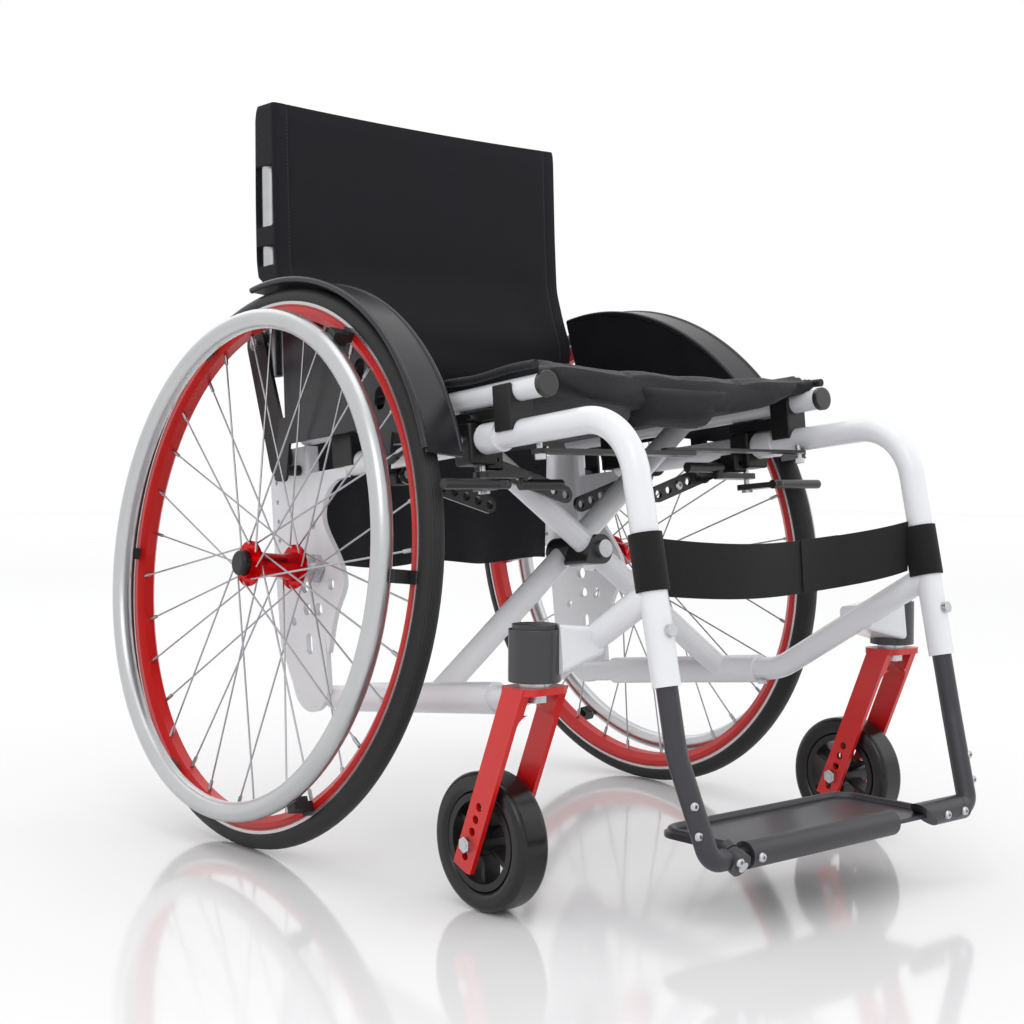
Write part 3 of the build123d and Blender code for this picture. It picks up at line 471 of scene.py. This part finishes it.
# ---- cloth ------------------------------------------------------------------------------
def puffed(made, voxel, pressure, cap, frames=20):
    """Fill a closed form as a pad: even mesh, cloth blown up from inside, each point held within cap."""
    remesh = made.modifiers.new("even", "REMESH")
    remesh.mode, remesh.voxel_size = "VOXEL", voxel
    made.data = baked(made)
    before = points_of(made.data)
    cloth = made.modifiers.new("cloth", "CLOTH")
    cloth.settings.use_pressure, cloth.settings.uniform_pressure_force = True, pressure
    cloth.settings.tension_stiffness = cloth.settings.compression_stiffness = 12
    cloth.settings.effector_weights.gravity = 0
    for step in range(1, frames + 1):
        bpy.context.scene.frame_set(step)
    after = points_of(baked(made, keep=True))
    made.modifiers.clear()
    bpy.context.scene.frame_set(1)
    move = after - before
    far = np.linalg.norm(move, axis=1, keepdims=True)
    moved = before + move * np.minimum(1.0, cap / np.maximum(far, 1e-9))
    made.data.vertices.foreach_set("co", moved.ravel())
    made.data.update()
    made.data.shade_smooth()
    return made


def baked(made, keep=False):
    """The piece's mesh with its modifiers applied."""
    bpy.context.view_layer.update()
    seen = made.evaluated_get(bpy.context.evaluated_depsgraph_get())
    mesh = bpy.data.meshes.new_from_object(seen)
    if not keep:
        made.modifiers.clear()
    return mesh


def points_of(mesh):
    flat = np.empty(len(mesh.vertices) * 3)
    mesh.vertices.foreach_get("co", flat)
    return flat.reshape(-1, 3)


def reshape(made, move):
    """Move every point of a piece by a function of its (n, 3) points."""
    points = points_of(made.data)
    made.data.vertices.foreach_set("co", (points + move(points)).ravel())
    made.data.update()
    return made


def hump(value, center, width):
    """A bell curve."""
    return np.exp(-((value - center) / width) ** 2)


# ---- upholstery ---------------------------------------------------------------------------
def folding(made):
    """Give the cloth piece a mesh of its own."""
    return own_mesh(made)


class BackShape:
    """Where the back's cloth lies at each height: front face, depth and half width."""
    levels = np.concatenate([[0.8055], np.linspace(0.804, 0.5, 115), [0.4815, 0.4800]])
    wide = np.interp(levels, [0.48, 0.52, 0.56, 0.8, 0.806], [0.206, 0.209, 0.2108, 0.2108, 0.2095])
    front = np.interp(levels, [0.478, 0.505, 0.535, 0.560, 0.590, 0.625, 0.700, 0.800, 0.806],
                      [0.060, 0.052, 0.050, 0.055, 0.067, 0.078, 0.083, 0.087, 0.089])
    front = np.convolve(np.pad(front, 4, "edge"), np.ones(9) / 9, "valid")
    depth = np.interp(levels, [0.48, 0.585, 0.612, 0.79, 0.806], [0.011, 0.014, 0.0455, 0.0405, 0.036])


def draped_back(p):
    """The front sags in a shallow belly, puckers by its seams and creases where it meets the seat."""
    x, y, z = p.T
    middle = np.interp(z, BackShape.levels[::-1], (BackShape.front + BackShape.depth / 2)[::-1])
    is_front = (y - MID_Y < middle).astype(float)
    belly = 0.007 * (1 - (x / 0.2) ** 2).clip(0) * is_front
    seam = 0.0009 * hump(np.abs(x), 0.192, 0.0018) * is_front
    slack = 0.0016 * np.sin(z * 95 + 9 * x) * hump(z, 0.53, 0.035)
    pull = 0.0012 * np.sin(x * 60 + z * 30) * hump(np.abs(x), 0.17, 0.05) * hump(z, 0.6, 0.06)
    top = -0.0012 * (1 - (x / 0.2) ** 2).clip(0) * hump(z, 0.806, 0.01)
    return np.column_stack([0 * x, belly + seam + slack + pull, top])


def back_panel():
    """The back's middle: front and rear faces of the shape above, from seam to seam."""
    x = np.linspace(-BACK_SEAM, BACK_SEAM, 61)
    rows = []
    for level, front, depth in zip(BackShape.levels, BackShape.front, BackShape.depth):
        y = np.concatenate([np.full(61, front), np.full(61, front + depth)]) + MID_Y
        rows.append(np.column_stack([np.concatenate([x, x[::-1]]), y, np.full(122, level)]))
    made = surface("back_panel", np.array(rows), back_cloth, loop_cols=True, capped=True)
    reshape(made, draped_back)
    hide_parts("backrest_cover")
    on_body(made, "right_side")
    return folding(made)


def back_sleeve(side, sign):
    """Sleeve round one cane: each level runs out from the seam, round the outer wall and back.

    At two levels the outer wall is let in past the cane, which shows it.
    """
    opening = np.zeros_like(BackShape.levels)
    for low, high in ((0.627, 0.644), (0.672, 0.735)):
        edges = [low - 0.002, low, high, high + 0.002]
        opening = np.maximum(opening, np.interp(BackShape.levels, edges, [0, 1, 1, 0]))
    quarter, wall = np.linspace(0, pi / 2, 6), np.linspace(-1, 1, 9)
    rows = []
    for level, wide, front, depth, open_by in zip(
            BackShape.levels, BackShape.wide, BackShape.front, BackShape.depth, opening):
        radius = min(0.004, depth / 2.05)
        face = np.linspace(BACK_SEAM, wide - radius, 9)
        arc_x = wide - radius + radius * np.sin(quarter)
        arc_y = depth / 2 - radius + radius * np.cos(quarter)
        let_in = wide - 0.028 * open_by * (np.abs(wall) < 0.9)
        x = np.concatenate([face, arc_x[1:], let_in, arc_x[::-1][1:], face[::-1]])
        y = np.concatenate([face * 0 - depth / 2, -arc_y[1:], wall * (depth / 2 - radius), arc_y[::-1][1:],
                            face * 0 + depth / 2])
        rows.append(np.column_stack([sign * x, y + front + depth / 2 + MID_Y, np.full(len(x), level)]))
    made = surface(f"back_sleeve_{side}", np.array(rows), back_cloth, loop_cols=True, capped=True)
    reshape(made, draped_back)
    on_body(made, f"{side}_side")


def two_faced(name, front, back):
    """A closed piece of seat cloth between two grids that match point for point."""
    grid = np.concatenate([front, back[:, ::-1]], 1)
    return surface(name, grid, seat_cloth, loop_cols=True, capped=True)


def back_skirt():
    """Cloth panel behind the seat, down to the lower tubes: a shallow hanging curve with soft folds."""
    half, top, hem_z = SKIRT_HALF, 0.492, 0.284
    across_x, down = np.meshgrid(np.linspace(-half, half, 90), np.linspace(top, hem_z, 60), indexing="ij")
    fold = 0.0035 * np.sin(across_x * 70 + 4 * down) * (0.5 - down).clip(0) / 0.2
    belly = 0.010 * (1 - (across_x / half) ** 2) * np.sin((top - down) / (top - hem_z) * pi)
    hem = 0.003 * np.cos(across_x * 40) * hump(down, hem_z, 0.03)
    front = np.stack([across_x, 0.0635 + MID_Y + fold + belly * 0.4, down + hem], -1)
    back = front + np.array([0, 0.0016, 0])
    made = two_faced("back_skirt", front, back)
    on_body(made, "right_side")
    return folding(made)


def seat_pad():
    """Quilted sling: flat over the rails, hanging between them, blown up a little as cloth."""
    u, v = np.meshgrid(np.linspace(-1, 1, 83), np.linspace(0, 1, 81), indexing="ij")
    x, s = SEAT_HALF * u, -0.4005 + 0.393 * v
    inner = (1 - np.abs(u) ** 6)
    top = 0.4560 - 0.0060 * inner * (1 - 0.5 * v)
    low = 0.4462 - 0.023 * (1 - (np.abs(x) / 0.172).clip(0, 1) ** 4)
    upper, lower = sloped(x, s, top), sloped(x, s, low)
    made = two_faced("seat_pad", upper, lower)
    puffed(made, 0.0052, 3.0, 0.006)

    def settle(p):
        x, y, z = p.T
        s = (y - MID_Y) * cos(SLOPE) - z * sin(SLOPE)
        h = (y - MID_Y) * sin(SLOPE) + z * cos(SLOPE)
        over = (h > 0.447).astype(float)
        front = hump(s, -0.4, 0.03)
        wave = 0.0065 * hump(x, -0.163, 0.028) + 0.0045 * hump(x, 0.185, 0.05)
        wave = (wave - 0.0035 * hump(x, 0.03, 0.07) + 0.0012 * np.sin(x * 75 + s * 20)) * front
        channel = -0.0022 * (hump(x, -0.075, 0.003) + hump(x, 0.085, 0.003)) * over    # sewn through
        crease = 0.0012 * np.sin(s * 70 + x * 30) * hump(np.abs(x), 0.18, 0.03) * over
        return np.column_stack([0 * x, -0.002 * np.sin(x * 50) * front, wave * over + channel + crease])

    reshape(made, settle)
    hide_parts("seat_sling")
    on_body(made, "seat")
    return folding(made)


def seat_pouch():
    """Pocket under the seat's front: a slanted panel that hangs back, its lower corner drawn to a point."""
    u, v = np.meshgrid(np.linspace(-1, 1, 61), np.linspace(0, 1, 33), indexing="ij")
    x = 0.060 * u * (1 - 0.10 * v ** 2) + 0.006 * v
    bulge = (1 - np.abs(u) ** 5) * np.sin(v * pi).clip(0) ** 0.6
    corner = -0.003 * hump(u, -1, 0.25) * v + 0.002 * hump(u, 1, 0.3) * v
    h, s = 0.4365 - 0.0335 * v + corner, -0.3985 + 0.036 * v ** 1.2
    front = sloped(x, s - 0.0060 * bulge, h - 0.002 * bulge)
    back = sloped(x, s + 0.010 + 0.002 * bulge, h + 0.004)
    made = two_faced("seat_pouch", front, back)
    puffed(made, 0.004, 2.0, 0.002)
    on_body(made, "seat")
    return folding(made)


def seat_piping():
    """Rolled edge of the seat along each rail."""
    turn = np.linspace(0, 1, 60)
    for side, sign in SIDES.items():
        s = -0.404 + 0.396 * turn
        line = sloped(sign * 0.2045 + 0 * s, s, 0.4515 + 0.0012 * np.sin(turn * 21))
        made = along_path(f"seat_piping_{side}", line, circle(0.0042, 12), seat_cloth, up=(0, 0, 1))
        on_body(made, "seat")
        folding(made)


def calf_strap():
    """Webbing from leg to leg, a little slack, with a sewn lap; a loop of it holds each leg."""
    low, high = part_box("calf_strap")
    middle_z, half_wide, thick = (low.z + high.z) / 2, 0.0252, 0.0014
    x = np.linspace(-STRAP_HALF, STRAP_HALF, 120)
    share = x / STRAP_HALF
    slack = (1 - share ** 2)
    y = np.full_like(x, (low.y + high.y) / 2) + 0.009 * slack * np.sin(share * 3.2 + 0.4)
    z = middle_z - 0.013 * slack + 0.004 * share
    tilt = 0.10 * np.sin(share * 2.6 + 0.5)
    up = np.stack([0 * x, np.sin(tilt), np.cos(tilt)], -1)
    center = np.stack([x, y, z], -1)
    across_it = np.array([0.0, 1.0, 0.0])
    section = rounded(thick / 2, half_wide, thick / 2.2, 4)
    grid = center[:, None] + section[None, :, :1] * across_it + section[None, :, 1:] * up[:, None]
    made = surface("calf_web", grid, strap_cloth, loop_cols=True, capped=True)
    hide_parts("calf_strap")
    on_body(made, "right_side")
    folding(made)
    lap_x = 0.055
    near = np.abs(x - lap_x) < 0.030
    lap_grid = grid[near] + np.array([0, -0.0018, 0.0006])
    lap = surface("calf_web_lap", lap_grid, strap_cloth, loop_cols=True, capped=True)
    on_body(lap, "right_side")
    folding(lap)
    for side, sign in SIDES.items():
        leg_loop(side, sign, middle_z, half_wide)


def leg_line(z):
    """The leg's centre line at a height: it leans as the corner and the leg's end give."""
    corner, end = sloped(0.0, -0.5105, 0.393), sloped(0.0, -0.5353, 0.1569)
    share = (z - corner[2]) / (end[2] - corner[2])
    return corner + (end - corner) * share


def leg_loop(side, sign, middle_z, half_wide):
    """Webbing round one leg: a ring that hugs the tube and reaches back to the band."""
    turn = np.linspace(0, 2 * pi, 48, endpoint=False)
    up = leg_line(0.4) - leg_line(0.2)
    up /= np.linalg.norm(up)
    at = leg_line(middle_z) + np.array([sign * LEG_X, 0, 0])
    inward, backward = np.array([-sign, 0.0, 0.0]), np.cross([1.0, 0, 0], up) * -1
    reach = 0.0142 + 0.0035 * hump(turn, 0.9, 0.5)
    ring = at + reach[:, None] * (np.cos(turn)[:, None] * inward + np.sin(turn)[:, None] * backward)
    outward = (ring - at) / np.linalg.norm(ring - at, axis=1, keepdims=True)
    section = rounded(0.0007, half_wide, 0.0006, 4)
    grid = ring[:, None] + section[None, :, :1] * outward[:, None] + section[None, :, 1:] * up
    made = surface(f"leg_web_{side}", grid, strap_cloth, loop_rows=True, loop_cols=True)
    on_body(made, f"{side}_side")


# ---- hard details -----------------------------------------------------------------------
def socket_screw(name, at, axis, radius, body, height=0.003):
    """Domed screw head with a hexagon socket sunk in it."""
    dome = [(radius * 0.35, height * 0.3), (radius * 0.38, height * 0.95), (radius * 0.8, height * 0.85),
            (radius, height * 0.45), (radius, 0.0)]
    on_body(turned(name, at, axis, dome, bright_steel, 24), body)


def wheel_details(side, sign):
    """The tyre's valve, through the rim towards the hub."""
    center, axis = wheel_axis(side)
    fore = np.array([0.0, 1.0, 0.0])
    up = np.cross(axis, fore) * sign
    angle = radians(152)
    out = cos(angle) * fore + sin(angle) * up
    profile = [(0.0028, 0), (0.0028, -0.016), (0.0040, -0.017), (0.0040, -0.027), (0.0030, -0.029)]
    made = turned(f"valve_{side}", center + out * 0.261, out, profile, black_plastic, 20)
    on_body(made, f"wheel_{side}")


def guard_lips(side, sign):
    """Rolled edges of the clothes guard, from behind the top round to the front."""
    center, axis = wheel_axis(side)
    fore = np.array([0.0, 1.0, 0.0])
    up = np.cross(axis, fore) * sign
    angle = np.radians(np.linspace(78.6, 156.6, 60))
    around = np.cos(angle)[:, None] * fore + np.sin(angle)[:, None] * up
    for name, along, reach, size in (("outer", 0.0125, 0.3015, 0.0034), ("inner", -0.0292, 0.3022, 0.0030)):
        line = center + along * axis + reach * around
        made = along_path(f"guard_lip_{name}_{side}", line, circle(size, 12), guard_plastic, up=axis)
        on_body(made, f"{side}_side")


def link_and_foot_screws(side, sign):
    """Screws in the middle of the front link, in the leg clamps and at the ends of the foot bar."""
    rearward = sloped(0.0, 1.0, 0.0) - sloped(0.0, 0.0, 0.0)
    link_middle = sloped(sign * 0.0988, -0.283, 0.352)
    socket_screw(f"link_screw_{side}", link_middle, -rearward, 0.0052, f"link_{side}")
    low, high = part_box("footplate")
    bar_radius, sunk = 0.012, 0.0004
    for place, x in (("outer", 0.162), ("inner", 0.134)):
        at = (sign * x, low.y + sunk, high.z - bar_radius - 0.001)
        socket_screw(f"foot_screw_{place}_{side}", at, (0, -1, 0), 0.0042, "footplate")
    for place, z in (("upper", 0.116), ("lower", 0.092)):
        leg_front = leg_line(z) + np.array([sign * LEG_X, -0.0118, 0])
        socket_screw(f"leg_screw_{place}_{side}", leg_front, (0, -1, 0), 0.0040, f"{side}_side")


def studio():
    """Pale floor, big soft lights, white surroundings, and the camera."""
    floor = Finish("floor_finish", (0.84, 0.84, 0.85), 0.09)
    mesh = bpy.data.meshes.new("floor")
    size = 14.0
    corners = [(-size, -size, 0), (size, -size, 0), (size, size, 0), (-size, size, 0)]
    mesh.from_pydata(corners, [], [(0, 1, 2, 3)])
    mesh.materials.append(floor.material)
    ground = bpy.data.objects.new("floor", mesh)
    ground.location.z = -0.0005
    bpy.context.scene.collection.objects.link(ground)
    world = bpy.data.worlds.new("studio")
    world.use_nodes = True
    world.node_tree.nodes["Background"].inputs["Color"].default_value = (1.0, 1.0, 1.0, 1)
    world.node_tree.nodes["Background"].inputs["Strength"].default_value = 1.0
    bpy.context.scene.world = world
    bpy.context.scene.view_settings.view_transform = "Standard"
    for name, at, size, power in (("key", (-2.2, -2.6, 3.0), 2.2, 26), ("fill", (2.8, -1.8, 2.2), 2.4, 8),
                                  ("back", (0.4, 3.0, 2.8), 2.6, 14), ("top", (0.0, 0.0, 3.4), 2.0, 12)):
        light = bpy.data.objects.new(name, bpy.data.lights.new(name, "AREA"))
        light.data.energy, light.data.size = power, size
        light.location = at
        light.rotation_euler = (Vector((0, 0, 0.35)) - Vector(at)).to_track_quat("-Z", "Y").to_euler()
        bpy.context.scene.collection.objects.link(light)
    yaw, pitch, roll = radians(40.5), radians(-1.3), radians(0.3)
    ahead = Vector((sin(yaw) * cos(pitch), cos(yaw) * cos(pitch), sin(pitch)))
    right = ahead.cross(Vector((0, 0, 1))).normalized()
    up = right.cross(ahead)
    right, up = cos(roll) * right + sin(roll) * up, cos(roll) * up - sin(roll) * right
    camera = bpy.data.objects.new("camera", bpy.data.cameras.new("camera"))
    camera.data.lens, camera.data.sensor_width = 55.9, 36.0
    camera.data.shift_x = -0.0058
    camera.matrix_world = Matrix.Translation((-1.1596, -1.3111, 0.389)) @ Matrix(
        (right, up, -ahead)).transposed().to_4x4()
    bpy.context.scene.collection.objects.link(camera)
    bpy.context.scene.camera = camera


studio()
finish_cad_nodes()
back_panel()
back_skirt()
seat_pad()
seat_pouch()
seat_piping()
calf_strap()
for side, sign in SIDES.items():
    back_sleeve(side, sign)
    wheel_details(side, sign)
    guard_lips(side, sign)
    link_and_foot_screws(side, sign)
